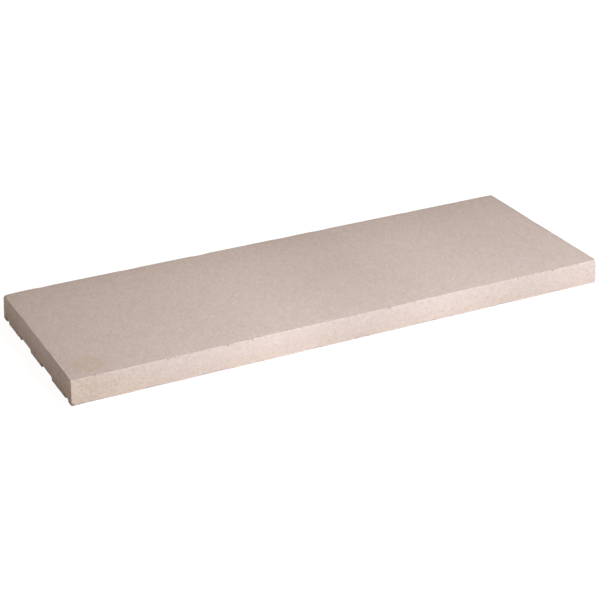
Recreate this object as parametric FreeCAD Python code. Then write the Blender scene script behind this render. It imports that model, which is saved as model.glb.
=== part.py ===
import FreeCAD, Part

import math
import os

# Flat concrete wall coping, cast in one piece.
# It lies along the top of a wall and stands out past both faces of it. Five lands on its
# underside bed in the mortar, and the two wide channels between them key it. A drip groove
# along each long edge stops rainwater from creeping back underneath to the wall.
# Frame: millimetres, +X along the length, +Z up, origin in the middle of the bed face.

# Overall size, measured round the foot, where the block is largest
LENGTH = 1000.0
WIDTH = 350.0
THICKNESS = 45.0
SIDE_TAPER = 0.8  # how far each long side leans in from foot to top, so that it leaves its mould
END_TAPER = 2.4  # the same for each end

# Rounded edges
CORNER_RADIUS = 2.0  # the four upright corners
TOP_ARRIS = 1.0
FOOT_ARRIS = 1.2
MOUTH_ARRIS = 1.0  # where the grooves and channels meet the bed face

# Drip grooves, one along each long edge
DRIP_MARGIN = 15.0  # from the long side to the groove
DRIP_MOUTH = 15.0
DRIP_DEPTH = 5.0
DRIP_ROOT_RADIUS = 2.5

# Mortar channels, one on each side of the middle land
MIDDLE_LAND = 56.0
CHANNEL_MOUTH = 52.0
CHANNEL_DEPTH = 6.0
CHANNEL_ROOT_RADIUS = 3.0

RECESS_LEAN_DEG = 10.0  # how far the walls of grooves and channels lean open


def edges_at(shape, height):
    """The edges that lie wholly at one height."""
    reach = 0.001
    return [
        edge
        for edge in shape.Edges
        if abs(edge.BoundBox.ZMin - height) < reach and abs(edge.BoundBox.ZMax - height) < reach
    ]


def foot_allowance(taper):
    """How much rounding the foot takes off the reach of a side with this taper."""
    lean = math.atan(taper / THICKNESS)
    return FOOT_ARRIS * (math.tan(lean) + 1 / math.cos(lean) - 1)


def tapered_block():
    """The block as the mould's sides leave it, before its underside is shaped."""
    foot_x = LENGTH / 2 + foot_allowance(END_TAPER)
    foot_y = WIDTH / 2 + foot_allowance(SIDE_TAPER)
    top_x = foot_x - END_TAPER
    top_y = foot_y - SIDE_TAPER
    block = Part.makeWedge(-foot_x, 0, -foot_y, -top_y, -top_x, foot_x, THICKNESS, foot_y, top_y, top_x)
    block.rotate(FreeCAD.Vector(0, 0, 0), FreeCAD.Vector(1, 0, 0), 90)  # a wedge narrows along Y
    uprights = [edge for edge in block.Edges if edge.BoundBox.ZLength > THICKNESS / 2]
    block = block.makeFillet(CORNER_RADIUS, uprights)
    block = block.makeFillet(TOP_ARRIS, edges_at(block, THICKNESS))
    return block.makeFillet(FOOT_ARRIS, edges_at(block, 0))


def rounded_section(corners):
    """A face through the corners in order. Each corner is a point and the radius of its arc."""
    points = [point for point, radius in corners]
    runs = []
    for (point, radius), before, after in zip(corners, points[-1:] + points[:-1], points[1:] + points[:1]):
        arriving = (point - before).normalize()
        leaving = (after - point).normalize()
        half_turn = arriving.getAngle(leaving) / 2
        tangent = radius * math.tan(half_turn)
        inward = (leaving - arriving).normalize() * (radius / math.cos(half_turn) - radius)
        runs.append((point - arriving * tangent, point + inward, point + leaving * tangent, radius))
    edges = []
    for (start, middle, end, radius), following in zip(runs, runs[1:] + runs[:1]):
        if radius:
            edges.append(Part.Arc(start, middle, end).toShape())
        if not end.isEqual(following[0], 1e-6):
            edges.append(Part.makeLine(end, following[0]))
    return Part.Face(Part.Wire(edges))


def recess_cutter(middle_y, mouth, depth, root_radius):
    """A bar that cuts one recess along the whole underside, open at both ends."""
    lean = math.radians(RECESS_LEAN_DEG)
    overrun = THICKNESS  # past each end and below the bed face
    half_mouth = mouth / 2
    half_root = half_mouth - depth * math.tan(lean)
    half_cut = half_mouth + MOUTH_ARRIS * math.tan((math.pi / 2 - lean) / 2)
    right_half = [
        (half_cut, -overrun, 0),
        (half_cut, 0, 0),
        (half_mouth, 0, MOUTH_ARRIS),
        (half_root, depth, root_radius),
    ]
    left_half = [(-y, z, radius) for y, z, radius in reversed(right_half)]
    start_x = -LENGTH / 2 - overrun
    corners = [(FreeCAD.Vector(start_x, middle_y + y, z), radius) for y, z, radius in right_half + left_half]
    return rounded_section(corners).extrude(FreeCAD.Vector(LENGTH + 2 * overrun, 0, 0))


def drip_groove(side):
    middle_y = side * (WIDTH / 2 - DRIP_MARGIN - DRIP_MOUTH / 2)
    return recess_cutter(middle_y, DRIP_MOUTH, DRIP_DEPTH, DRIP_ROOT_RADIUS)


def mortar_channel(side):
    middle_y = side * (MIDDLE_LAND + CHANNEL_MOUTH) / 2
    return recess_cutter(middle_y, CHANNEL_MOUTH, CHANNEL_DEPTH, CHANNEL_ROOT_RADIUS)


def wall_coping():
    coping = tapered_block()
    for side in (-1, 1):
        coping = coping.cut(drip_groove(side))
        coping = coping.cut(mortar_channel(side))
    return coping.Solids[0]


def main():
    os.makedirs("parts", exist_ok=True)
    coping = wall_coping()
    coping.exportStep("parts/wall_coping.step")
    box = coping.optimalBoundingBox(False)
    print("valid", coping.isValid(), "faces", len(coping.Faces), "litres", round(coping.Volume / 1e6, 3))
    print("size", round(box.XLength, 3), round(box.YLength, 3), round(box.ZLength, 3))


main()
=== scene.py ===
import math

import bmesh
import bpy
from mathutils import Matrix, Vector, geometry, noise


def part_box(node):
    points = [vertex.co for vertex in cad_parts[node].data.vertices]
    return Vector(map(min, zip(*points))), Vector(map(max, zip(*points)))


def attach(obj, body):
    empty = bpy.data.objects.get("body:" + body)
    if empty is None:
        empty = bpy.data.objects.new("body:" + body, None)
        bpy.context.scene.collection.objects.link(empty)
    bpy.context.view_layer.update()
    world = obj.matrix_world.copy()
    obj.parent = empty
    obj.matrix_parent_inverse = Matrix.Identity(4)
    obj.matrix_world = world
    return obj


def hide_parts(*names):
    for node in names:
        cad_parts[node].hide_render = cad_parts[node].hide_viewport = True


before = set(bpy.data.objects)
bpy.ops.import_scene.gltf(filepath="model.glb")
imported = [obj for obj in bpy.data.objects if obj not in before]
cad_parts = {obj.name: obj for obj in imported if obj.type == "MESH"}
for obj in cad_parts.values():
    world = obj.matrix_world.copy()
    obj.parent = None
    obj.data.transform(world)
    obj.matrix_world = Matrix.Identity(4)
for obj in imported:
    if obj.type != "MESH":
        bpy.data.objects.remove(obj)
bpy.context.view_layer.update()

slabLow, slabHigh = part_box("wall_coping")
scene = bpy.context.scene
mm = 0.001

# sizes that the frame doesn't give, in metres
slabShape = {
    "sideTaper": 0.8 * mm,
    "leftTaper": 1.6 * mm,
    "rightTaper": 2.4 * mm,
    "leftRadius": 0.9 * mm,    # the upright corners
    "rightRadius": 2.0 * mm,
    "leastRadius": 0.5 * mm,
    "topArris": 0.5 * mm,
    "footArris": 1.2 * mm,
    "arcSteps": 4,
    "topStep": 1.5 * mm,       # point spacing along the top arrises
    "footStep": 2.2 * mm,      # along the foot
    "wideStep": 24.0 * mm,     # and out in the middle of the faces
    "stepGrowth": 0.9,         # of the way in from an arris, in between
    "ringInsets": (0.7, 1.6, 2.8, 4.5, 7.0, 10.5, 15.0, 21.0),   # mm in from an arris
    "bedRings": 5,             # how many of them the bed face has
    "capMargin": 0.7,          # of a wide step, between the last ring and the points inside it
    "sharpDeg": 38.0,          # edges with a smaller turn than this are shaded smooth
}

recessShape = {
    "seed": 7,
    "dripMargin": 15.0 * mm,
    "dripMouth": 15.0 * mm,
    "dripDepth": 5.0 * mm,
    "dripRoot": 2.5 * mm,
    "middleLand": 56.0 * mm,
    "channelMouth": 52.0 * mm,
    "channelDepth": 6.0 * mm,
    "channelRoot": 3.0 * mm,
    "mouthArris": 1.0 * mm,
    "leanDeg": 10.0,
    "arcSteps": 3,
    "overrun": 8.0 * mm,       # how far the cutters reach below the bed face
    "stationStep": 5.0 * mm,
    "wobble": 0.25 * mm,
    "wobbleWave": 12.0 * mm,
}

slabLength = slabHigh.x - slabLow.x
slabWidth = slabHigh.y - slabLow.y
slabHeight = slabHigh.z - slabLow.z
zoneTop, zoneSide, zoneEnd, zoneBed, zoneBroken = range(5)
endStraights = (3, 7)   # of the eight segments of a ring, the two along the ends


# slab

def ringStep(inset, finest):
    return min(slabShape["wideStep"], max(finest, slabShape["stepGrowth"] * inset))


def reachAt(taper, z):
    # how far a leaning side stands out from the nominal size at this height, before any rounding
    lean = math.atan(taper / slabHeight)
    allowance = slabShape["footArris"] * (math.tan(lean) + 1 / math.cos(lean) - 1)
    return allowance - z * math.tan(lean)


def arcRows(centre, radius, start, end, spacing, zones):
    # an arc of the rim, whose first half belongs to one zone and the rest to the other
    steps = slabShape["arcSteps"]
    rows = []
    for step in range(steps + 1):
        angle = start + (end - start) * step / steps
        out, z = centre[0] + radius * math.cos(angle), centre[1] + radius * math.sin(angle)
        rows.append((out, z, spacing, zones[0] if step * 2 < steps else zones[1]))
    return rows


def slabProfile(taper):
    # one section of the rim, from the middle of the top out, down the side and in under the bed.
    # Each row says how far out it stands from the nominal size, its height, point spacing and zone.
    lean = math.atan(taper / slabHeight)
    foot, top = slabShape["footArris"], slabShape["topArris"]
    topCentre = (reachAt(taper, slabHeight - top) - top / math.cos(lean), slabHeight - top)
    footCentre = (reachAt(taper, foot) - foot / math.cos(lean), foot)
    insets = [value * mm for value in slabShape["ringInsets"]]
    topStep, footStep = slabShape["topStep"], slabShape["footStep"]
    rows = []
    for inset in reversed(insets):
        rows.append((topCentre[0] - inset, slabHeight, ringStep(inset, topStep), zoneTop))
    rows += arcRows(topCentre, top, math.pi / 2, lean, topStep, (zoneTop, zoneSide))
    highZ = rows[-1][1]
    lowZ = footCentre[1] + foot * math.sin(lean)
    middle = (highZ + lowZ) / 2
    down = [highZ - inset for inset in insets if highZ - inset > middle]
    for z in down + [middle] + [lowZ + highZ - z for z in reversed(down)]:
        finest = topStep if z > middle else footStep
        rows.append((reachAt(taper, z), z, ringStep(min(highZ - z, z - lowZ), finest), zoneSide))
    rows += arcRows(footCentre, foot, lean, -math.pi / 2, footStep, (zoneSide, zoneBed))
    for inset in insets[:slabShape["bedRings"]]:
        rows.append((footCentre[0] - inset, 0.0, ringStep(inset, footStep), zoneBed))
    return rows


def roundedRing(mesh, reaches, z, step, trim):
    # four straights and four corners, each a list of vertices that ends where the next begins
    left, right, long = reaches
    points = []
    for quarter, (sideX, sideY) in enumerate(((1, 1), (-1, 1), (-1, -1), (1, -1))):
        radius = slabShape["rightRadius" if sideX > 0 else "leftRadius"] - trim
        radius = max(slabShape["leastRadius"], radius)
        x = slabLength / 2 + (right if sideX > 0 else left) - radius
        y = slabWidth / 2 + long - radius
        centre = Vector((sideX * x, sideY * y, z))
        count = max(3, math.ceil(radius * math.pi / 2 / step))
        corner = []
        for index in range(count + 1):
            angle = (quarter + index / count) * math.pi / 2
            corner.append(centre + radius * Vector((math.cos(angle), math.sin(angle), 0)))
        points.append(corner)
    segments = []
    for quarter in range(4):
        corner, following = points[quarter], points[(quarter + 1) % 4]
        start, end = corner[-1], following[0]
        count = max(1, round((end - start).length / step))
        straight = [start.lerp(end, index / count) for index in range(count + 1)]
        segments += [corner, straight]
    verts = [[mesh.verts.new(point) for point in segment[:-1]] for segment in segments]
    return [own + [following[0]] for own, following in zip(verts, verts[1:] + verts[:1])]


def zipRings(mesh, outer, inner, zone, zoneLayer):
    # triangles between two rings whose segments may have different numbers of points
    for segment, (one, other) in enumerate(zip(outer, inner)):
        zoneHere = zoneEnd if zone == zoneSide and segment in endStraights else zone
        i = j = 0
        while i < len(one) - 1 or j < len(other) - 1:
            nextI = (i + 1) / (len(one) - 1)
            nextJ = (j + 1) / (len(other) - 1)
            if j == len(other) - 1 or (i < len(one) - 1 and nextI <= nextJ):
                face = mesh.faces.new((one[i], one[i + 1], other[j]))
                i += 1
            else:
                face = mesh.faces.new((one[i], other[j + 1], other[j]))
                j += 1
            face[zoneLayer] = zoneHere


def fillCap(mesh, ring, zone, zoneLayer, step):
    # a level face inside the last ring, with points of its own so that no triangle is long and thin
    border = [vert for segment in ring for vert in segment[:-1]]
    z = border[0].co.z
    flat = [vert.co.to_2d() for vert in border]
    reachX = max(point.x for point in flat) - step * slabShape["capMargin"]
    reachY = max(point.y for point in flat) - step * slabShape["capMargin"]
    countX, countY = round(2 * reachX / step), round(2 * reachY / step)
    for row in range(countY + 1):
        for column in range(countX + 1):
            shift = 0.5 if row % 2 and column < countX else 0.0
            flat.append(Vector((
                -reachX + 2 * reachX * (column + shift) / countX,
                -reachY + 2 * reachY * row / countY,
            )))
    edges = [(index, (index + 1) % len(border)) for index in range(len(border))]
    places, _, faces, origins, _, _ = geometry.delaunay_2d_cdt(flat, edges, [], 1, 1e-7)
    verts = []
    for place, origin in zip(places, origins):
        known = origin[0] if origin and origin[0] < len(border) else None
        verts.append(border[known] if known is not None else mesh.verts.new((place.x, place.y, z)))
    for face in faces:
        mesh.faces.new([verts[index] for index in face])[zoneLayer] = zone


def makeBlock():
    mesh = bmesh.new()
    zoneLayer = mesh.faces.layers.int.new("zone")
    rows = slabProfile(slabShape["sideTaper"])
    leftRows = slabProfile(slabShape["leftTaper"])
    rightRows = slabProfile(slabShape["rightTaper"])
    widest = max(row[0] for row in rows)
    rings = []
    for (reach, z, step, zone), leftRow, rightRow in zip(rows, leftRows, rightRows):
        rings.append(roundedRing(mesh, (leftRow[0], rightRow[0], reach), z, step, widest - reach))
    for outer, inner, row in zip(rings, rings[1:], rows):
        zipRings(mesh, outer, inner, row[3], zoneLayer)
    fillCap(mesh, rings[0], zoneTop, zoneLayer, slabShape["wideStep"])
    fillCap(mesh, rings[-1], zoneBed, zoneLayer, slabShape["wideStep"])
    bmesh.ops.recalc_face_normals(mesh, faces=mesh.faces)
    return mesh


def finishMesh(mesh, name):
    data = bpy.data.meshes.new(name)
    mesh.to_mesh(data)
    mesh.free()
    piece = bpy.data.objects.new(name, data)
    scene.collection.objects.link(piece)
    return piece


# arrises, broken back unevenly as they came out of the mould

arrisWear = {
    "slowWave": 55.0 * mm,     # slow wander of an arris
    "slowDepth": 1.5 * mm,
    "shortWave": 17.0 * mm,    # and a shorter one on top of it
    "shortDepth": 0.4 * mm,
    "toothWave": 4.2 * mm,     # short bites out of it, between crisp stretches
    "toothDepth": 2.6 * mm,
    "toothStart": 0.12,
    "slow": {"front": 0.0, "back": 2.0, "end": 1.0, "upright": 0.0, "foot": 1.0},
    "short": {"front": 1.3, "back": 1.0, "end": 0.8, "upright": 0.7, "foot": 1.3},
    "teeth": {"front": 1.2, "back": 0.3, "end": 0.3, "upright": 0.3, "foot": 0.5},
    "reach": 8.0 * mm,         # no point further from an edge than this is worn
    "roundShare": 0.92,        # of the rounding that the edge has already
    "fade": 2.5 * mm,          # how far in from an edge its wear shows
    "nickShadeFull": 1.0 * mm,       # a nick this deep gets the darkest painted shade
    "biteShade": 0.25,           # how dark the painted shade in a bite is beside a nick
    # the front arris fills out from one of these places to the next
    "frontBreaks": (-0.49, -0.186, 0.120, 0.458, 0.79),
    "frontDepth": 0.8 * mm,
    # edges rubbed flat, but not at their corners: how much at the start, middle and end
    "cut": {"left": (0.5 * mm, 0.5 * mm, 0.2 * mm), "frontFoot": (0.3 * mm, 0.5 * mm, 0.4 * mm)},
    "cutFade": 14.0 * mm,
}

# single nicks, each with its edge, its place along that edge, half width and depth
arrisNicks = [("front", x, 2.2 * mm, 1.8 * mm) for x in (-0.230, 0.072, 0.404)]
arrisNicks += [("front", x, 1.8 * mm, 0.9 * mm) for x in (-0.458, -0.186, 0.120, 0.458)]
arrisNicks += [
    ("leftFoot", 0.088, 4.0 * mm, 2.6 * mm),
    ("leftFoot", 0.152, 2.5 * mm, 1.4 * mm),
    ("leftFoot", -0.120, 2.0 * mm, 1.2 * mm),
    ("frontLeft", 0.001, 4.0 * mm, 1.2 * mm),
    ("frontFoot", -0.490, 2.0 * mm, 2.2 * mm),
    ("frontFoot", -0.482, 3.0 * mm, 1.7 * mm),
]

# the left top arris gets a painted highlight, less and less from the front corner back
arrisHighlight = {"most": 0.9, "until": 40.0 * mm, "run": 210.0 * mm, "depth": 1.0 * mm}

# top corners knocked off a little: how far along each edge, how deep, which side in x and y
knockedCorners = [(26.0 * mm, 2.6 * mm, -1, 1), (9.0 * mm, 1.8 * mm, 1, -1)]

# the left end has a lip under the first of them and is a little hollow along its top
cornerLip = {"height": 38.0 * mm, "rise": 4.5 * mm, "width": 9.0 * mm, "out": 1.6 * mm}
leftHollow = {"in": 1.1 * mm, "centre": -20.0 * mm, "reach": 160.0 * mm}
leftBend = {"fade": 8.0 * mm, "clear": 0.1 * mm}   # how far in it goes, how clear of the box it stays

# how near an arris a point is, and how much painted highlight and painted shade it gets
edgeLayers = ("arris", "edgePatch", "nickShade")


def wanderAt(place, slow, short):
    slowly = noise.noise(place / arrisWear["slowWave"] + Vector((3, 1, 4))) * arrisWear["slowDepth"]
    return slow * slowly + short * noise.noise(place / arrisWear["shortWave"]) * arrisWear["shortDepth"]


def fillAt(x):
    # the front arris is cut back most just after each break
    breaks = arrisWear["frontBreaks"]
    for start, end in zip(breaks, breaks[1:]):
        if start <= x < end:
            return arrisWear["frontDepth"] * (1 - (x - start) / (end - start)) ** 2
    return arrisWear["frontDepth"]


def knockAt(place, name):
    # how much is gone from this edge because a top corner was knocked
    taken = 0.0
    for reach, depth, sideX, sideY in knockedCorners:
        away = {
            "long": slabLength / 2 - sideX * place.x,
            "end": slabWidth / 2 - sideY * place.y,
            "upright": slabHeight - place.z,
        }
        if place.x * sideX > 0 and place.y * sideY > 0:
            taken = max(taken, depth * max(0.0, 1 - away[name] / reach) ** 1.5)
    return taken


def biteAt(place):
    bite = noise.noise(place / arrisWear["toothWave"] + Vector((7, 3, 5))) - arrisWear["toothStart"]
    return max(0.0, bite) * arrisWear["toothDepth"]


def nickAt(edge, along):
    depths = [
        depth * math.exp(-((along - place) / width) ** 2)
        for name, place, width, depth in arrisNicks if name == edge
    ]
    return max(depths, default=0.0)


def edgesNear(place):
    # the edges that this point may lie on: name, kind, rounding, the two faces, how far along
    front, left = place.y < 0, place.x < 0
    long, end = "front" if front else "back", "left" if left else "right"
    topArris, footArris = slabShape["topArris"], slabShape["footArris"]
    upright = "frontLeft" if front and left else "upright"
    return (
        (long, long, topArris, "top", "long", place.x),
        (end, "end", topArris, "top", "end", place.y),
        (long + "Foot", "foot", footArris, "bed", "long", place.x),
        (end + "Foot", "foot", footArris, "bed", "end", place.y),
        (upright, "upright", slabShape[end + "Radius"], "long", "end", place.z),
    )


def depthsAt(place, endTaper):
    # how deep a point lies under each face
    return {
        "top": slabHeight - place.z,
        "bed": place.z,
        "long": slabWidth / 2 + reachAt(slabShape["sideTaper"], place.z) - abs(place.y),
        "end": slabLength / 2 + reachAt(endTaper, place.z) - abs(place.x),
    }


def cutAt(name, second, along):
    # how far an edge that is rubbed flat is cut back here
    if name not in arrisWear["cut"]:
        return 0.0
    half = (slabLength if second == "long" else slabWidth) / 2
    atStart, atMiddle, atEnd = arrisWear["cut"][name]
    cut = atMiddle + ((atEnd if along > 0 else atStart) - atMiddle) * abs(along) / half
    return cut * min(1.0, max(0.0, half - abs(along)) / arrisWear["cutFade"])


# how much painted highlight a point of the left top arris gets
def highlightAt(name, along, z):
    if name != "left":
        return 0.0
    onTop = max(0.0, 1 - (slabHeight - z) / arrisHighlight["depth"])
    return arrisHighlight["most"] * onTop * max(0.0, (arrisHighlight["until"] - along) / arrisHighlight["run"])


def wearArrises(mesh):
    arrisLayer, highlightLayer, nickShadeLayer = [mesh.verts.layers.float.new(name) for name in edgeLayers]
    for vert in mesh.verts:
        place = vert.co.copy()
        endTaper = slabShape["leftTaper" if place.x < 0 else "rightTaper"]
        outward = {
            "top": Vector((0, 0, 1)),
            "bed": Vector((0, 0, -1)),
            "long": Vector((0, math.copysign(1, place.y), 0)),
            "end": Vector((math.copysign(1, place.x), 0, 0)),
        }
        for name, kind, radius, first, second, along in edgesNear(place):
            depths = depthsAt(vert.co, endTaper)
            depth = (depths[first] + depths[second]) / math.sqrt(2)
            if depth > arrisWear["reach"]:
                continue
            base = radius * (math.sqrt(2) - 1) * arrisWear["roundShare"]
            if name == "front":
                base += fillAt(along)
            base += cutAt(name, second, along)
            nick, bite = nickAt(name, along), arrisWear["teeth"][kind] * biteAt(place)
            wanted = base + wanderAt(place, arrisWear["slow"][kind], arrisWear["short"][kind]) + bite
            wanted = max(wanted, nick)
            if first != "bed":
                wanted = max(wanted, base + knockAt(place, "upright" if kind == "upright" else second))
            if wanted > depth:
                vert.co += (outward[first] + outward[second]).normalized() * (depth - wanted)
            near = max(0.0, 1 - max(0.0, depth - base) / arrisWear["fade"])
            # painted shade in the nicks, and on the top in the bites too
            dark = max(nick, bite * arrisWear["biteShade"]) if first == "top" else nick
            vert[arrisLayer] = max(vert[arrisLayer], near)
            vert[nickShadeLayer] = max(vert[nickShadeLayer], near * min(1.0, dark / arrisWear["nickShadeFull"]))
            vert[highlightLayer] = max(vert[highlightLayer], near * highlightAt(name, along, place.z))


def bendLeftEnd(mesh):
    for vert in mesh.verts:
        place = vert.co
        atEnd = max(0.0, 1 - (place.x + slabLength / 2) / leftBend["fade"])
        hollow = max(0.0, 1 - abs((place.y - leftHollow["centre"]) / leftHollow["reach"]) ** 4)
        place.x += leftHollow["in"] * atEnd * hollow * (place.z / slabHeight) ** 2
        if atEnd and place.y > 0:
            up = (place.z - cornerLip["height"]) / cornerLip["rise"]
            along = (slabWidth / 2 - place.y) / cornerLip["width"]
            out = cornerLip["out"] * atEnd * math.exp(-up * up - along * along)
            place.x = max(leftBend["clear"] - slabLength / 2, place.x - out)


# recesses under the slab

def recessSection(middle, mouth, depth, root):
    # y and z round the cutter of one recess
    lean = math.radians(recessShape["leanDeg"])
    arris = recessShape["mouthArris"]
    steps = recessShape["arcSteps"]
    turn = math.pi / 2 - lean
    halfMouth = mouth / 2
    halfRoot = halfMouth - depth * math.tan(lean)
    reach = arris * math.tan(turn / 2)
    half = [(halfMouth + reach, -recessShape["overrun"])]
    for step in range(steps + 1):
        angle = turn * step / steps
        half.append((halfMouth + reach - arris * math.sin(angle), arris * (1 - math.cos(angle))))
    rootReach = root * math.tan(turn / 2)
    for step in range(steps + 1):
        angle = turn * (1 - step / steps)
        half.append((halfRoot - rootReach + root * math.sin(angle), depth - root * (1 - math.cos(angle))))
    return [(middle + y, z) for y, z in half] + [(middle - y, z) for y, z in reversed(half)]


def recessSections():
    shape = recessShape
    dripMiddle = slabWidth / 2 - shape["dripMargin"] - shape["dripMouth"] / 2
    channelMiddle = (shape["middleLand"] + shape["channelMouth"]) / 2
    drip = (shape["dripMouth"], shape["dripDepth"], shape["dripRoot"])
    channel = (shape["channelMouth"], shape["channelDepth"], shape["channelRoot"])
    sections = []
    for side in (-1, 1):
        sections.append(recessSection(side * dripMiddle, *drip))
        sections.append(recessSection(side * channelMiddle, *channel))
    return sections


def makeRecesses():
    noise.seed_set(recessShape["seed"])   # noise_vector takes the time of day without it
    mesh = bmesh.new()
    zoneLayer = mesh.faces.layers.int.new("zone")
    for name in edgeLayers:
        mesh.verts.layers.float.new(name)
    reach = slabLength / 2 + 2 * recessShape["stationStep"]
    stations = round(2 * reach / recessShape["stationStep"])
    for section in recessSections():
        loops = []
        for station in range(stations + 1):
            x = -reach + 2 * reach * station / stations
            loop = []
            for y, z in section:
                shake = noise.noise_vector(Vector((x, y, z)) / recessShape["wobbleWave"])
                shake *= recessShape["wobble"]
                loop.append(mesh.verts.new((x, y + shake.y, z + shake.z)))
            loops.append(loop)
        for one, other in zip(loops, loops[1:]):
            for index in range(len(section)):
                following = (index + 1) % len(section)
                mesh.faces.new((one[index], one[following], other[following], other[index]))
        mesh.faces.new(loops[0])
        mesh.faces.new(loops[-1])
    for face in mesh.faces:
        face[zoneLayer] = zoneBed
    bmesh.ops.recalc_face_normals(mesh, faces=mesh.faces)
    bmesh.ops.triangulate(mesh, faces=mesh.faces)
    return mesh


# materials

concreteMix = {                      # in sRGB
    "cool": (217, 200, 194),         # paste over pale sand, on the top
    "warm": (213, 196, 184),         # and over yellow sand
    "lilac": (220, 204, 198),        # the same two on the other faces
    "ochre": (216, 195, 181),
    "grain": (192, 155, 122),        # single grains that show through
    "paintedHighlight": (229, 219, 217),       # a painted highlight along the left top arris
    # painted shade, in pores, nicks and bites and at the land corners
    "poreShade": (120, 100, 86),
    "damp": (206, 180, 160),
}

grainDrawn = {"stretch": 1.9, "turnDeg": -26.0}


def srgb(colour):
    parts = [value / 255 for value in colour]
    return tuple(((value + 0.055) / 1.055) ** 2.4 for value in parts) + (1.0,)


def setSockets(tree, node, values):
    # a value is set on its socket, and another node's output is linked to it
    for name, value in values.items():
        if isinstance(value, bpy.types.NodeSocket):
            tree.links.new(value, node.inputs[name])
        else:
            node.inputs[name].default_value = value


def addNode(tree, kind, values=None, **settings):
    node = tree.nodes.new(kind)
    for name, value in settings.items():
        setattr(node, name, value)
    setSockets(tree, node, values or {})
    return node


def calc(tree, operation, *values, clamp=False):
    values = dict(enumerate(values))
    return addNode(tree, "ShaderNodeMath", values, operation=operation, use_clamp=clamp).outputs[0]


def scaled(tree, vector, factor):
    values = {0: vector, "Scale": factor}
    return addNode(tree, "ShaderNodeVectorMath", values, operation="SCALE").outputs[0]


def shifted(tree, vector, offset):
    return addNode(tree, "ShaderNodeVectorMath", {0: vector, 1: offset}, operation="ADD").outputs[0]


def stretched(tree, vector):
    # grain drawn out one way, as the top was floated
    turn = (0.0, 0.0, math.radians(grainDrawn["turnDeg"]))
    values = {"Vector": vector, "Rotation": turn, "Scale": (1.0, grainDrawn["stretch"], 1.0)}
    return addNode(tree, "ShaderNodeMapping", values, vector_type="TEXTURE").outputs[0]


def ramp(tree, value, low, high, toLow=0.0, toHigh=1.0):
    values = {"Value": value, "From Min": low, "From Max": high, "To Min": toLow, "To Max": toHigh}
    return addNode(tree, "ShaderNodeMapRange", values, interpolation_type="SMOOTHSTEP").outputs["Result"]


def noiseAt(tree, vector, size, detail, roughness):
    scale = 1.0 / size if isinstance(size, float) else calc(tree, "DIVIDE", 1.0, size)
    values = {"Vector": vector, "Scale": scale, "Detail": detail, "Roughness": roughness}
    return addNode(tree, "ShaderNodeTexNoise", values).outputs[0]


def cellsAt(tree, vector, scale):
    # loose cells: how far away the middle of one is, and the parts of the random colour that it has
    cells = addNode(tree, "ShaderNodeTexVoronoi", {"Vector": vector, "Scale": scale}, feature="F1")
    parts = addNode(tree, "ShaderNodeSeparateColor", {"Color": cells.outputs["Color"]})
    return cells.outputs["Distance"], parts.outputs


def axesOf(tree, vector):
    return addNode(tree, "ShaderNodeSeparateXYZ", {"Vector": vector}).outputs


def mixColour(tree, factor, first, second):
    return addNode(tree, "ShaderNodeMix", {0: factor, 6: first, 7: second}, data_type="RGBA").outputs[2]


def newGroup(name, inputs, outputs, kind="ShaderNodeTree"):
    # each input has its default, or the type of its socket where there is none
    tree = bpy.data.node_groups.new(name, kind)
    for label, value in inputs.items():
        if isinstance(value, str):
            tree.interface.new_socket(label, in_out="INPUT", socket_type="NodeSocket" + value)
        else:
            socketType = "NodeSocketInt" if isinstance(value, int) else "NodeSocketFloat"
            socket = tree.interface.new_socket(label, in_out="INPUT", socket_type=socketType)
            socket.default_value = value
    for label, socketType in outputs.items():
        tree.interface.new_socket(label, in_out="OUTPUT", socket_type="NodeSocket" + socketType)
    return tree, addNode(tree, "NodeGroupInput").outputs, addNode(tree, "NodeGroupOutput")


def sandGrainGroup():
    # orange peel of rounded sand grains, with a finer grit between them
    inputs = {"Vector": "Vector", "Grain Size": 4.0 * mm, "Grit": 0.4}
    tree, ins, outs = newGroup("sandGrain", inputs, {"Height": "Float"})
    lumps = noiseAt(tree, ins["Vector"], ins["Grain Size"], 2.0, 0.55)
    finer = calc(tree, "MULTIPLY", ins["Grain Size"], 0.3)
    grit = noiseAt(tree, shifted(tree, ins["Vector"], (0.3, 0.1, 0.2)), finer, 1.0, 0.5)
    setSockets(tree, outs, {"Height": calc(tree, "MULTIPLY_ADD", grit, ins["Grit"], lumps)})
    return tree


def sandTintGroup():
    # drifts between pale and yellow sand, from single grains up to patches
    inputs = {"Vector": "Vector", "Patch Size": 20.0 * mm, "Contrast": 1.0, "Bias": 0.5}
    tree, ins, outs = newGroup("sandTint", inputs, {"Warmth": "Float"})
    drift = noiseAt(tree, shifted(tree, ins["Vector"], (2.1, 0.7, 1.3)), ins["Patch Size"], 4.0, 0.75)
    centred = calc(tree, "SUBTRACT", drift, 0.5)
    warmth = calc(tree, "MULTIPLY_ADD", centred, ins["Contrast"], ins["Bias"], clamp=True)
    setSockets(tree, outs, {"Warmth": warmth})
    return tree


def grainToneGroup():
    # each grain has a tone and a warmth of its own, fine grains among coarser ones
    inputs = {"Vector": "Vector", "Grain Size": 2.2 * mm, "Coarse Share": 0.4}
    tree, ins, outs = newGroup("grainTone", inputs, {"Tone": "Float", "Warmth": "Float"})
    layers = []
    for times, offset in ((1.0, (0.0, 0.0, 0.0)), (2.3, (0.7, 0.3, 0.5))):
        scale = calc(tree, "DIVIDE", 1.0 / times, ins["Grain Size"])
        layers.append(cellsAt(tree, shifted(tree, ins["Vector"], offset), scale)[1])
    for index, name in enumerate(("Tone", "Warmth")):
        fine, coarse = [calc(tree, "SUBTRACT", parts[index], 0.5) for parts in layers]
        setSockets(tree, outs, {name: calc(tree, "MULTIPLY_ADD", coarse, ins["Coarse Share"], fine)})
    return tree
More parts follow.
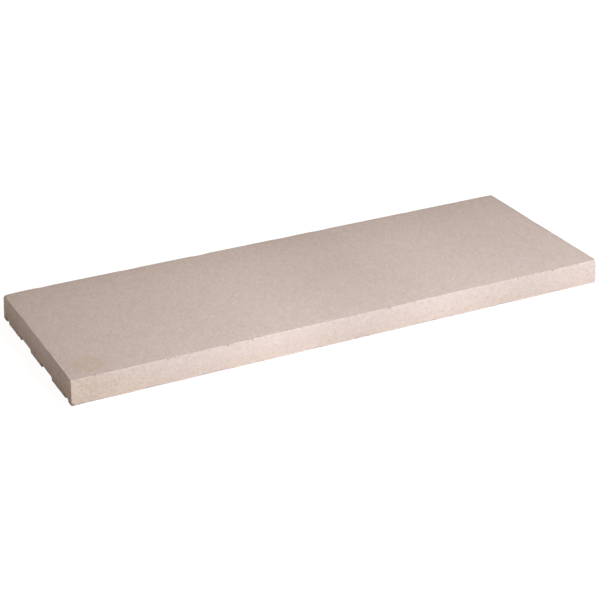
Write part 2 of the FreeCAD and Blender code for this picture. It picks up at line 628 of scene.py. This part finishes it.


# strips of another tone: the axis, where along it they start and end, and how strong they are there.
# Back, Front and Rim are painted shade, Foot is painted shade low down and painted light higher up,
# and Arris, made negative, is a painted highlight along the foot
mottleStrips = {
    "Back Shade Depth": ("Y", 0.06, 0.175, 0.0, 1.0),
    "Front Shade Depth": ("Y", -0.175, -0.03, 1.0, 0.0),
    "Foot Shade Depth": ("Z", 0.0, slabHeight, 1.0, -1.0),
    "Rim Shade Depth": ("Z", 0.0, 0.010, 1.0, 0.0),
    "Foot Highlight Depth": ("Z", 0.001, 0.003, 1.0, 0.0),
    "Left Depth": ("X", -0.5, -0.455, 1.0, 0.0),
}
mottleEdge = (("Y", 0.160, 0.170), ("X", 0.488, 0.496))   # one strip along the back and the right


def waveAlong(tree, along, length, peak, depth):
    phase = calc(tree, "DIVIDE", calc(tree, "SUBTRACT", along, peak), length)
    wave = calc(tree, "COSINE", calc(tree, "MULTIPLY", phase, math.tau))
    return calc(tree, "MULTIPLY", wave, depth)


def castMottleGroup():
    # slow change of tone: waves along the length, strips along the edges, some of them painted shade
    # and one a painted highlight, and clouds from uneven drying
    tree, ins, outs = newGroup("castMottle", {
        "Vector": "Vector",
        "Level": 1.0,
        "Long Wave": 0.8,
        "Long Peak": -0.167,
        "Long Depth": 0.027,
        "Short Wave": 0.4,
        "Short Peak": -0.185,
        "Short Depth": 0.025,
        "Side Wave": 0.296,
        "Side Peak": -0.147,
        "Side Depth": 0.0,
        **{name: 0.0 for name in mottleStrips},
        "Edge Depth": 0.0,
        "Cloud Size": 0.07,
        "Cloud Depth": 0.05,
    }, {"Tone": "Float"})
    axes = axesOf(tree, ins["Vector"])
    tone = ins["Level"]
    for name in ("Long", "Short", "Side"):
        values = [ins[name + part] for part in (" Wave", " Peak", " Depth")]
        tone = calc(tree, "ADD", tone, waveAlong(tree, axes["X"], *values))
    strips = {name: ramp(tree, axes[axis], *fade) for name, (axis, *fade) in mottleStrips.items()}
    backEdge, rightEdge = [ramp(tree, axes[axis], *fade) for axis, *fade in mottleEdge]
    strips["Edge Depth"] = calc(tree, "MAXIMUM", backEdge, rightEdge)
    for name, strip in strips.items():
        tone = calc(tree, "SUBTRACT", tone, calc(tree, "MULTIPLY", strip, ins[name]))
    clouds = noiseAt(tree, ins["Vector"], ins["Cloud Size"], 3.0, 0.55)
    tone = calc(tree, "MULTIPLY_ADD", calc(tree, "SUBTRACT", clouds, 0.5), ins["Cloud Depth"], tone)
    setSockets(tree, outs, {"Tone": tone})
    return tree


def roundSpotGroup():
    # one round spot with a soft, uneven rim: the damp stain on the top, and painted shade on the other
    # faces
    inputs = {"Vector": "Vector", "Centre": "Vector", "Radius": 18.0 * mm}
    tree, ins, outs = newGroup("roundSpot", inputs, {"Mask": "Float"})
    values = {0: ins["Vector"], 1: ins["Centre"]}
    away = addNode(tree, "ShaderNodeVectorMath", values, operation="DISTANCE").outputs["Value"]
    rim = noiseAt(tree, ins["Vector"], 12.0 * mm, 2.0, 0.5)
    spread = calc(tree, "MULTIPLY", calc(tree, "ADD", rim, 0.5), ins["Radius"])
    inner, outer = [calc(tree, "MULTIPLY", spread, times) for times in (0.6, 1.25)]
    setSockets(tree, outs, {"Mask": ramp(tree, away, inner, outer, 1.0, 0.0)})
    return tree


def grainAndPoreSpeckGroup():
    # single grains, and pores with their shade painted dark, scattered, each with a soft rim
    inputs = {"Vector": "Vector", "Spacing": 3.0 * mm, "Share": 0.15, "Radius": 0.45}
    tree, ins, outs = newGroup("grainAndPoreSpeck", inputs, {"Mask": "Float"})
    away, parts = cellsAt(tree, ins["Vector"], calc(tree, "DIVIDE", 1.0, ins["Spacing"]))
    chosen = calc(tree, "LESS_THAN", parts[0], ins["Share"])
    size = calc(tree, "MULTIPLY", ins["Radius"], calc(tree, "MULTIPLY_ADD", parts[1], 0.6, 0.4))
    spot = ramp(tree, away, calc(tree, "MULTIPLY", size, 0.5), size, 1.0, 0.0)
    setSockets(tree, outs, {"Mask": calc(tree, "MULTIPLY", chosen, spot)})
    return tree


def arrisPatchGroup():
    # painted highlight and painted shade along an edge, in patches: the attribute says how much
    inputs = {"Vector": "Vector", "Amount": 0.0, "Patch Size": 5.0 * mm, "Patchiness": 0.5}
    tree, ins, outs = newGroup("arrisPatch", inputs, {"Mask": "Float"})
    patches = noiseAt(tree, ins["Vector"], ins["Patch Size"], 2.0, 0.6)
    uneven = calc(tree, "MULTIPLY_ADD", calc(tree, "SUBTRACT", patches, 0.5), ins["Patchiness"], 1.0)
    setSockets(tree, outs, {"Mask": calc(tree, "MULTIPLY", ins["Amount"], uneven, clamp=True)})
    return tree


groups = {
    "grain": sandGrainGroup(),
    "tint": sandTintGroup(),
    "tone": grainToneGroup(),
    "mottle": castMottleGroup(),
    "stainAndShade": roundSpotGroup(),
    "speck": grainAndPoreSpeckGroup(),
    "edgePatch": arrisPatchGroup(),
}


def useGroup(tree, name, vector, values):
    return addNode(tree, "ShaderNodeGroup", {"Vector": vector, **values}, node_tree=groups[name]).outputs


# painted shade at the left end in the front corner of each land, where the side walls of the channels lie
# in shade
landCorners = (0.160, 0.081, -0.027, -0.144)

faceFinish = {
    "top": {
        "material": "concrete_top_face", "roughness": 0.86,
        "tints": ("cool", "warm"), "tint": {"Patch Size": 0.012, "Contrast": 2.0},
        "tone": {"Grain Size": 3.2 * mm, "Coarse Share": 0.32}, "toneDepth": 0.092, "warmthDepth": 1.38,
        "grain": {"Grain Size": 4.5 * mm, "Grit": 0.4}, "bump": 0.3 * mm,
        "mottle": {
            "Long Wave": 0.878, "Long Peak": -0.122, "Long Depth": 0.018,
            "Short Wave": 0.468, "Short Peak": -0.178, "Short Depth": 0.026,
            "Side Wave": 0.291, "Side Peak": -0.084, "Side Depth": 0.0125,
            # painted shade: the top darker towards the back
            "Back Shade Depth": 0.06, "Left Depth": 0.05, "Edge Depth": 0.04, "Cloud Depth": 0.05,
        },
        "specks": {"Spacing": 3.4 * mm, "Share": 0.05, "Radius": 0.4}, "speckDepth": 0.25,
        "pores": {"Spacing": 11 * mm, "Share": 0.07, "Radius": 0.12}, "poreShadeDepth": 0.5,
        "stainsAndShade": [((-0.455, -0.133, slabHeight), 32.0 * mm)], "stainAndShadeDepth": 0.33, "stainAndShadeColour": "damp",
    },
    "side": {
        "material": "concrete_long_side", "roughness": 0.9,
        "tints": ("lilac", "ochre"), "tint": {"Patch Size": 0.012, "Contrast": 1.2},
        "tone": {"Grain Size": 3.6 * mm, "Coarse Share": 0.2}, "toneDepth": 0.092, "warmthDepth": 0.72,
        "grain": {"Grain Size": 4.0 * mm, "Grit": 0.4}, "bump": 0.25 * mm,
        "mottle": {
            # painted highlight: the long side lighter in a thin strip along its foot
            "Level": 0.995, "Left Depth": -0.07, "Foot Highlight Depth": -0.25, "Cloud Depth": 0.02,
            "Long Wave": 0.828, "Long Peak": -0.187, "Long Depth": 0.049,
            "Short Wave": 0.517, "Short Peak": -0.290, "Short Depth": 0.026,
            "Side Wave": 0.308, "Side Peak": -0.133, "Side Depth": 0.038,
        },
        "specks": {"Spacing": 3.0 * mm, "Share": 0.22, "Radius": 0.5}, "speckDepth": 0.35,
        "pores": {"Spacing": 9 * mm, "Share": 0.1, "Radius": 0.14}, "poreShadeDepth": 0.5,
        # painted shade at the foot of the front-left corner
        "stainsAndShade": [((-0.4975, -0.175, 0.0012), 5.0 * mm)], "stainAndShadeDepth": 0.48, "stainAndShadeColour": "poreShade",
        "footWarmth": 0.22, "corner": ("X", -0.52, -0.3, 0.55),
    },
    "end": {
        "material": "concrete_end", "roughness": 0.9,
        "tints": ("lilac", "ochre"), "tint": {"Patch Size": 0.012, "Contrast": 2.4, "Bias": 0.35},
        "tone": {"Grain Size": 3.2 * mm, "Coarse Share": 0.6}, "toneDepth": 0.17, "warmthDepth": 0.75,
        "grain": {"Grain Size": 4.5 * mm, "Grit": 0.3}, "bump": 0.25 * mm,
        "mottle": {
            # painted shade: the end darker towards the front and the floor, and painted light higher up
            "Level": 1.01, "Front Shade Depth": 0.085, "Foot Shade Depth": 0.06, "Rim Shade Depth": 0.18,
            "Cloud Depth": 0.09,
        },
        "specks": {"Spacing": 3.0 * mm, "Share": 0.15, "Radius": 0.5}, "speckDepth": 0.3,
        "pores": {"Spacing": 9 * mm, "Share": 0.1, "Radius": 0.14}, "poreShadeDepth": 0.5,
        # painted shade in the front corner of each land
        "stainsAndShade": [((-0.5, y, 0.001), 6.5 * mm) for y in landCorners],
        "stainAndShadeDepth": 0.75, "stainAndShadeColour": "poreShade",
        "footWarmth": 0.3, "corner": ("Y", -0.18, -0.05, 0.35),
    },
    "bed": {
        "material": "concrete_bed_face", "roughness": 0.93,
        "tints": ("lilac", "ochre"), "tint": {"Patch Size": 0.025, "Contrast": 4.0},
        "tone": {"Grain Size": 2.6 * mm, "Coarse Share": 0.8}, "toneDepth": 0.12, "warmthDepth": 0.9,
        "grain": {"Grain Size": 4.2 * mm, "Grit": 0.6}, "bump": 0.5 * mm,
        "mottle": {"Cloud Depth": 0.3},
        "specks": {"Spacing": 3.2 * mm, "Share": 0.2, "Radius": 0.5}, "speckDepth": 0.4,
        "pores": {"Spacing": 8 * mm, "Share": 0.15, "Radius": 0.16}, "poreShadeDepth": 0.6,
        # painted shade on the channel walls behind the land corners
        "stainsAndShade": [((-0.498, y, 0.003), 10.0 * mm) for y in landCorners],
        "stainAndShadeDepth": 0.85, "stainAndShadeColour": "poreShade",
    },
    "broken": {
        "material": "concrete_broken", "roughness": 0.95,
        "tints": ("warm", "ochre"), "tint": {"Patch Size": 0.006, "Contrast": 4.0},
        "tone": {"Grain Size": 1.6 * mm, "Coarse Share": 0.8}, "toneDepth": 0.2, "warmthDepth": 0.9,
        "grain": {"Grain Size": 2.2 * mm, "Grit": 0.6}, "bump": 0.5 * mm,
        "mottle": {"Cloud Depth": 0.3},
        "specks": {"Spacing": 2.2 * mm, "Share": 0.3, "Radius": 0.5}, "speckDepth": 0.5,
        "pores": {"Spacing": 5 * mm, "Share": 0.2, "Radius": 0.2}, "poreShadeDepth": 0.6,
    },
}

# the same on every face
allFaces = {
    "specular": 0.25,
    "highlightPatches": 0.8,
    "nickShadePatches": 1.2,
    "nickShadeDepth": 0.5,
    "cornerSpecks": 0.8,       # how much more the specks and the tones show towards a corner
    "cornerTone": 1.2,
}


def patchedEdgeMask(tree, place, layer, patchiness):
    # the painted highlight and painted shade stored on the points, broken up into patches
    stored = addNode(tree, "ShaderNodeAttribute", attribute_name=layer).outputs["Fac"]
    return useGroup(tree, "edgePatch", place, {"Amount": stored, "Patchiness": patchiness})["Mask"]


def concreteMaterial(finish):
    material = bpy.data.materials.new(finish["material"])
    material.use_nodes = True
    tree = material.node_tree
    shader = tree.nodes["Principled BSDF"]
    place = addNode(tree, "ShaderNodeTexCoord").outputs["Object"]
    axes = axesOf(tree, place)
    grainPlace = stretched(tree, place)
    grains = useGroup(tree, "tone", grainPlace, finish["tone"])

    warmth = useGroup(tree, "tint", place, finish["tint"])["Warmth"]
    warmth = calc(tree, "MULTIPLY_ADD", grains["Warmth"], finish["warmthDepth"], warmth)
    if "footWarmth" in finish:
        low = ramp(tree, axes["Z"], 0.0, slabHeight, finish["footWarmth"], -finish["footWarmth"])
        warmth = calc(tree, "ADD", warmth, low)
    corner = 0.0
    if "corner" in finish:
        axis, near, far, gain = finish["corner"]
        corner = ramp(tree, axes[axis], near, far, gain, 0.0)
    warmth = calc(tree, "ADD", warmth, corner, clamp=True)
    first, second = [srgb(concreteMix[tint]) for tint in finish["tints"]]
    colour = mixColour(tree, warmth, first, second)

    specks = useGroup(tree, "speck", place, finish["specks"])["Mask"]
    speckDepth = calc(tree, "MULTIPLY_ADD", corner, allFaces["cornerSpecks"], finish["speckDepth"])
    pores = useGroup(tree, "speck", shifted(tree, place, (0.4, 0.2, 0.6)), finish["pores"])["Mask"]
    # painted shade in the nicks and bites of the arrises
    nickShades = patchedEdgeMask(tree, place, "nickShade", allFaces["nickShadePatches"])
    layers = [
        (calc(tree, "MULTIPLY", specks, speckDepth), "grain"),
        # painted highlight along the left top arris
        (patchedEdgeMask(tree, place, "edgePatch", allFaces["highlightPatches"]), "paintedHighlight"),
        (calc(tree, "MULTIPLY", nickShades, allFaces["nickShadeDepth"]), "poreShade"),
        # dark dots of painted shade for pores too small to cut
        (calc(tree, "MULTIPLY", pores, finish["poreShadeDepth"]), "poreShade"),
    ]
    # a damp stain on the top, and painted shade on the other faces
    for centre, radius in finish.get("stainsAndShade", ()):
        stainAndShade = useGroup(tree, "stainAndShade", place, {"Centre": centre, "Radius": radius})["Mask"]
        layers.append((calc(tree, "MULTIPLY", stainAndShade, finish["stainAndShadeDepth"]), finish["stainAndShadeColour"]))
    for mask, name in layers:
        colour = mixColour(tree, mask, colour, srgb(concreteMix[name]))

    tone = useGroup(tree, "mottle", place, finish["mottle"])["Tone"]
    stronger = calc(tree, "MULTIPLY_ADD", corner, allFaces["cornerTone"], 1.0)
    toneDepth = calc(tree, "MULTIPLY", stronger, finish["toneDepth"])
    tone = calc(tree, "MULTIPLY_ADD", grains["Tone"], toneDepth, tone)
    height = useGroup(tree, "grain", grainPlace, finish["grain"])["Height"]
    bump = addNode(tree, "ShaderNodeBump", {"Height": height, "Strength": 1.0, "Distance": finish["bump"]})
    setSockets(tree, shader, {
        "Base Color": scaled(tree, colour, tone),
        "Roughness": finish["roughness"],
        "Specular IOR Level": allFaces["specular"],
        "Normal": bump.outputs[0],
    })
    return material


materials = {face: concreteMaterial(finish) for face, finish in faceFinish.items()}
print("materials:", ", ".join(material.name for material in materials.values()))


# air holes and chips, cut out of the block

castingMarks = {
    "Hole Density": 4000.0,       # per square metre, before each face takes its share
    "Hole Spacing": 5.0 * mm,
    "Top Share": 0.04,
    "Side Share": 0.35,
    "Bed Share": 0.22,
    "Hole Smallest": 0.3 * mm,
    "Hole Largest": 1.5 * mm,
    "Chip Density": 1500.0,       # per square metre of arris
    "Chip Smallest": 0.7 * mm,
    "Chip Largest": 2.0 * mm,
    "Seed": 11,
}


# the lumps that cut them: the flattest and the fullest, and how much rarer the large ones are
holeLumps = {"flat": 0.7, "full": 1.15, "rarity": 5.0, "seedShift": 20}
chipLumps = {"flat": 0.55, "full": 1.15, "rarity": 3.0, "seedShift": 10}
lumpBumps = 420.0      # per metre of a cut surface
chippedFrom = 0.9      # chips lie where the wear of an arris is more than this


def castingMarksTree(cutters):
    inputs = {"Geometry": "Geometry", **castingMarks}
    tree, ins, outs = newGroup("castingMarks", inputs, {"Geometry": "Geometry"}, "GeometryNodeTree")

    def attribute(name, dataType):
        values = {"Name": name}
        return addNode(tree, "GeometryNodeInputNamedAttribute", values, data_type=dataType).outputs[0]

    def isZone(number):
        values = {2: attribute("zone", "INT"), 3: number}
        return addNode(tree, "FunctionNodeCompare", values, data_type="INT", operation="EQUAL").outputs[0]

    def painted(mesh, face, selection=True):
        values = {"Geometry": mesh, "Material": materials[face], "Selection": selection}
        return addNode(tree, "GeometryNodeSetMaterial", values).outputs[0]

    def realized(instances):
        return addNode(tree, "GeometryNodeRealizeInstances", {0: instances}).outputs[0]

    def randomVector(low, high, seed):
        values = {0: (low,) * 3, 1: (high,) * 3, "Seed": seed}
        return addNode(tree, "FunctionNodeRandomValue", values, data_type="FLOAT_VECTOR").outputs[0]

    def blobs(points, smallest, largest, lumps):
        # uneven rounded lumps, many small and few large
        seed = calc(tree, "ADD", ins["Seed"], lumps["seedShift"])
        spread = addNode(tree, "FunctionNodeRandomValue", {"Seed": seed}, data_type="FLOAT").outputs[1]
        rarer = calc(tree, "POWER", spread, lumps["rarity"])
        values = {"Value": rarer, "To Min": smallest, "To Max": largest}
        size = addNode(tree, "ShaderNodeMapRange", values).outputs[0]
        shape = randomVector(lumps["flat"], lumps["full"], calc(tree, "ADD", seed, 1))
        turn = randomVector(0, math.tau, calc(tree, "ADD", seed, 2))
        ball = addNode(tree, "GeometryNodeMeshIcoSphere", {"Radius": 1.0, "Subdivisions": 2}).outputs[0]
        values = {"Points": points, "Instance": ball, "Rotation": turn, "Scale": scaled(tree, shape, size)}
        placed = addNode(tree, "GeometryNodeInstanceOnPoints", values).outputs[0]
        bumps = addNode(tree, "ShaderNodeTexNoise", {"Scale": lumpBumps, "Detail": 1.0})
        values = {0: bumps.outputs["Color"], 1: (0.5,) * 3}
        centred = addNode(tree, "ShaderNodeVectorMath", values, operation="SUBTRACT")
        values = {"Geometry": realized(placed), "Offset": scaled(tree, centred.outputs[0], largest)}
        rough = addNode(tree, "GeometryNodeSetPosition", values).outputs[0]
        values = {"Geometry": rough, "Name": "zone", "Value": zoneBroken}
        mark = addNode(tree, "GeometryNodeStoreNamedAttribute", values, data_type="INT", domain="FACE")
        return painted(mark.outputs[0], "broken")

    def cutAway(body, tool):
        values = {"Mesh 1": body, "Mesh 2": tool}
        node = addNode(tree, "GeometryNodeMeshBoolean", values, operation="DIFFERENCE", solver="MANIFOLD")
        return node.outputs[0]

    def pointsOn(method, values):
        node = addNode(tree, "GeometryNodeDistributePointsOnFaces", values, distribute_method=method)
        return node.outputs["Points"]

    recesses = addNode(tree, "GeometryNodeObjectInfo", {"Object": cutters}).outputs["Geometry"]
    body = cutAway(ins["Geometry"], recesses)

    nearArris = calc(tree, "GREATER_THAN", attribute("arris", "FLOAT"), chippedFrom)
    density = calc(tree, "MULTIPLY", nearArris, ins["Chip Density"])
    spots = pointsOn("RANDOM", {"Mesh": body, "Density": density, "Seed": ins["Seed"]})
    body = cutAway(body, blobs(spots, ins["Chip Smallest"], ins["Chip Largest"], chipLumps))

    share = calc(tree, "MULTIPLY", isZone(zoneTop), ins["Top Share"])
    for zone, name in ((zoneSide, "Side"), (zoneEnd, "Side"), (zoneBed, "Bed")):
        share = calc(tree, "MULTIPLY_ADD", isZone(zone), ins[name + " Share"], share)
    spots = pointsOn("POISSON", {
        "Mesh": body,
        "Distance Min": ins["Hole Spacing"],
        "Density Max": ins["Hole Density"],
        "Density Factor": share,
        "Seed": calc(tree, "ADD", ins["Seed"], 1),
    })
    body = cutAway(body, blobs(spots, ins["Hole Smallest"], ins["Hole Largest"], holeLumps))

    finished = realized(body)
    for face, zone in (("top", zoneTop), ("end", zoneEnd), ("bed", zoneBed)):
        finished = painted(finished, face, isZone(zone))
    setSockets(tree, outs, {0: finished})
    return tree


def applyModifier(piece, modifier):
    made = bpy.data.meshes.new_from_object(piece.evaluated_get(bpy.context.evaluated_depsgraph_get()))
    piece.modifiers.remove(modifier)
    piece.data = made


def applyTree(piece, tree, values):
    modifier = piece.modifiers.new(tree.name, "NODES")
    modifier.node_group = tree
    for socket in tree.interface.items_tree:
        if socket.in_out == "INPUT" and socket.name in values:
            modifier[socket.identifier] = values[socket.name]
    applyModifier(piece, modifier)


blockMesh = makeBlock()
wearArrises(blockMesh)
bendLeftEnd(blockMesh)
coping = finishMesh(blockMesh, "coping_cast")
print("block:", len(coping.data.polygons), "faces")
cutters = finishMesh(makeRecesses(), "recess_cutters")
for piece in (coping, cutters):
    piece.data.materials.append(materials["side"])
applyTree(coping, castingMarksTree(cutters), castingMarks)
bpy.data.objects.remove(cutters)
coping.data.shade_smooth()
coping.data.set_sharp_from_angle(angle=math.radians(slabShape["sharpDeg"]))
# wide faces stay flat up to their arrises
flatNormals = coping.modifiers.new("flat_normals", "WEIGHTED_NORMAL")
flatNormals.keep_sharp = True
applyModifier(coping, flatNormals)
coping.data.name = "coping_cast"
print("cast slab:", sum(len(face.vertices) - 2 for face in coping.data.polygons), "triangles")
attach(coping, "root")
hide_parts("wall_coping")


# floor, lamps and camera

studio = {
    "floorSize": 30.0,
    "floorBounce": 0.4,
    "floorWhite": 0.90,        # what the camera sees of the floor before any light falls on it
    "floorShade": 0.25,        # and how much of the light and shadow it adds
    "skyStrength": 0.382,
    "skyColour": (1.12, 1.0, 0.90),
    "underStrength": 0.45,     # light from below the floor, only for views of the underside
}

lamps = {
    "key_light": {"place": (0.15, -1.4, 0.9), "size": 0.4, "strength": 0.669, "colour": (0.93, 1.0, 1.06)},
    "side_light": {"place": (1.5, -1.5, 1.2), "size": 0.6, "strength": 0.2, "colour": (0.93, 1.0, 1.06)},
}

photoView = {
    "imagePx": 600,
    "focalPx": 1627.6,
    "azimuthDeg": -26.502,
    "elevationDeg": 25.852,
    "rollDeg": -0.303,
    "distance": 2.8916,
    "aimRight": 0.01068,
    "aimUp": 0.00026,
    "sensorWidth": 36.0,
}


def mixShaders(tree, factor, first, second):
    return addNode(tree, "ShaderNodeMixShader", {0: factor, 1: first, 2: second}).outputs[0]


def plainDiffuse(tree, grey):
    return addNode(tree, "ShaderNodeBsdfDiffuse", {"Color": (grey,) * 3 + (1.0,)}).outputs[0]


def makeFloor():
    # a wide ring, open where the slab stands, that only its upper side shows
    mesh = bmesh.new()
    outside = (studio["floorSize"] / 2, studio["floorSize"] / 2)
    opening = (slabLength / 2 - slabShape["footArris"], slabWidth / 2 - slabShape["footArris"])
    outer, inner = [
        [mesh.verts.new((x * reachX, y * reachY, 0.0)) for x, y in ((-1, -1), (1, -1), (1, 1), (-1, 1))]
        for reachX, reachY in (outside, opening)
    ]
    for side in range(4):
        following = (side + 1) % 4
        mesh.faces.new((outer[side], outer[following], inner[following], inner[side]))
    floor = finishMesh(mesh, "floor")
    material = bpy.data.materials.new("floor_white")
    material.use_nodes = True
    tree = material.node_tree
    tree.nodes.remove(tree.nodes["Principled BSDF"])
    light = addNode(tree, "ShaderNodeLightPath").outputs
    seen = calc(tree, "MAXIMUM", light["Is Camera Ray"], light["Is Glossy Ray"])
    seen = calc(tree, "MAXIMUM", seen, light["Is Transmission Ray"])
    white = addNode(tree, "ShaderNodeEmission", {"Strength": studio["floorWhite"]}).outputs[0]
    look = addNode(tree, "ShaderNodeAddShader", {0: plainDiffuse(tree, studio["floorShade"]), 1: white})
    upper = mixShaders(tree, seen, plainDiffuse(tree, studio["floorBounce"]), look.outputs[0])
    below = addNode(tree, "ShaderNodeNewGeometry").outputs["Backfacing"]
    clear = addNode(tree, "ShaderNodeBsdfTransparent").outputs[0]
    setSockets(tree, tree.nodes["Material Output"], {"Surface": mixShaders(tree, below, upper, clear)})
    floor.data.materials.append(material)


def makeSky():
    world = bpy.data.worlds.new("studio_sky")
    world.use_nodes = True
    scene.world = world
    tree = world.node_tree
    skyColour = studio["skyColour"] + (1.0,)
    above = tree.nodes["Background"]
    setSockets(tree, above, {"Color": skyColour, "Strength": studio["skyStrength"]})
    values = {"Color": skyColour, "Strength": studio["underStrength"]}
    below = addNode(tree, "ShaderNodeBackground", values).outputs[0]
    white = addNode(tree, "ShaderNodeBackground", {"Color": (1.0,) * 4, "Strength": 1.0}).outputs[0]
    axes = axesOf(tree, addNode(tree, "ShaderNodeTexCoord").outputs["Generated"])
    lit = mixShaders(tree, calc(tree, "LESS_THAN", axes["Z"], 0.0), above.outputs[0], below)
    seen = addNode(tree, "ShaderNodeLightPath").outputs["Is Camera Ray"]
    setSockets(tree, tree.nodes["World Output"], {"Surface": mixShaders(tree, seen, lit, white)})


def makeLamp(name, values):
    lamp = bpy.data.lights.new(name, "AREA")
    lamp.shape = "SQUARE"
    lamp.size = values["size"]
    place = Vector(values["place"])
    # the strength is what reaches the origin
    lamp.energy = values["strength"] * math.pi ** 2 * place.length_squared
    lamp.color = values["colour"]
    holder = bpy.data.objects.new(name, lamp)
    holder.location = place
    holder.rotation_euler = place.to_track_quat("Z", "Y").to_euler()
    scene.collection.objects.link(holder)


def makeCamera():
    camera = bpy.data.cameras.new("camera")
    camera.sensor_width = photoView["sensorWidth"]
    camera.lens = photoView["focalPx"] / photoView["imagePx"] * camera.sensor_width
    azimuth = math.radians(photoView["azimuthDeg"])
    elevation = math.radians(photoView["elevationDeg"])
    level = Vector((math.sin(azimuth), -math.cos(azimuth), 0))
    back = level * math.cos(elevation) + Vector((0, 0, math.sin(elevation)))
    right = Vector((0, 0, 1)).cross(back).normalized()
    up = back.cross(right)
    tilt = Matrix.Rotation(math.radians(photoView["rollDeg"]), 3, back)
    right, up = tilt @ right, tilt @ up
    place = back * photoView["distance"] - right * photoView["aimRight"] - up * photoView["aimUp"]
    holder = bpy.data.objects.new("camera", camera)
    holder.matrix_world = Matrix.Translation(place) @ Matrix((right, up, back)).transposed().to_4x4()
    scene.collection.objects.link(holder)
    scene.camera = holder


makeFloor()
makeSky()
for name, values in lamps.items():
    makeLamp(name, values)
makeCamera()
scene.view_settings.view_transform = "Standard"
print("studio set")
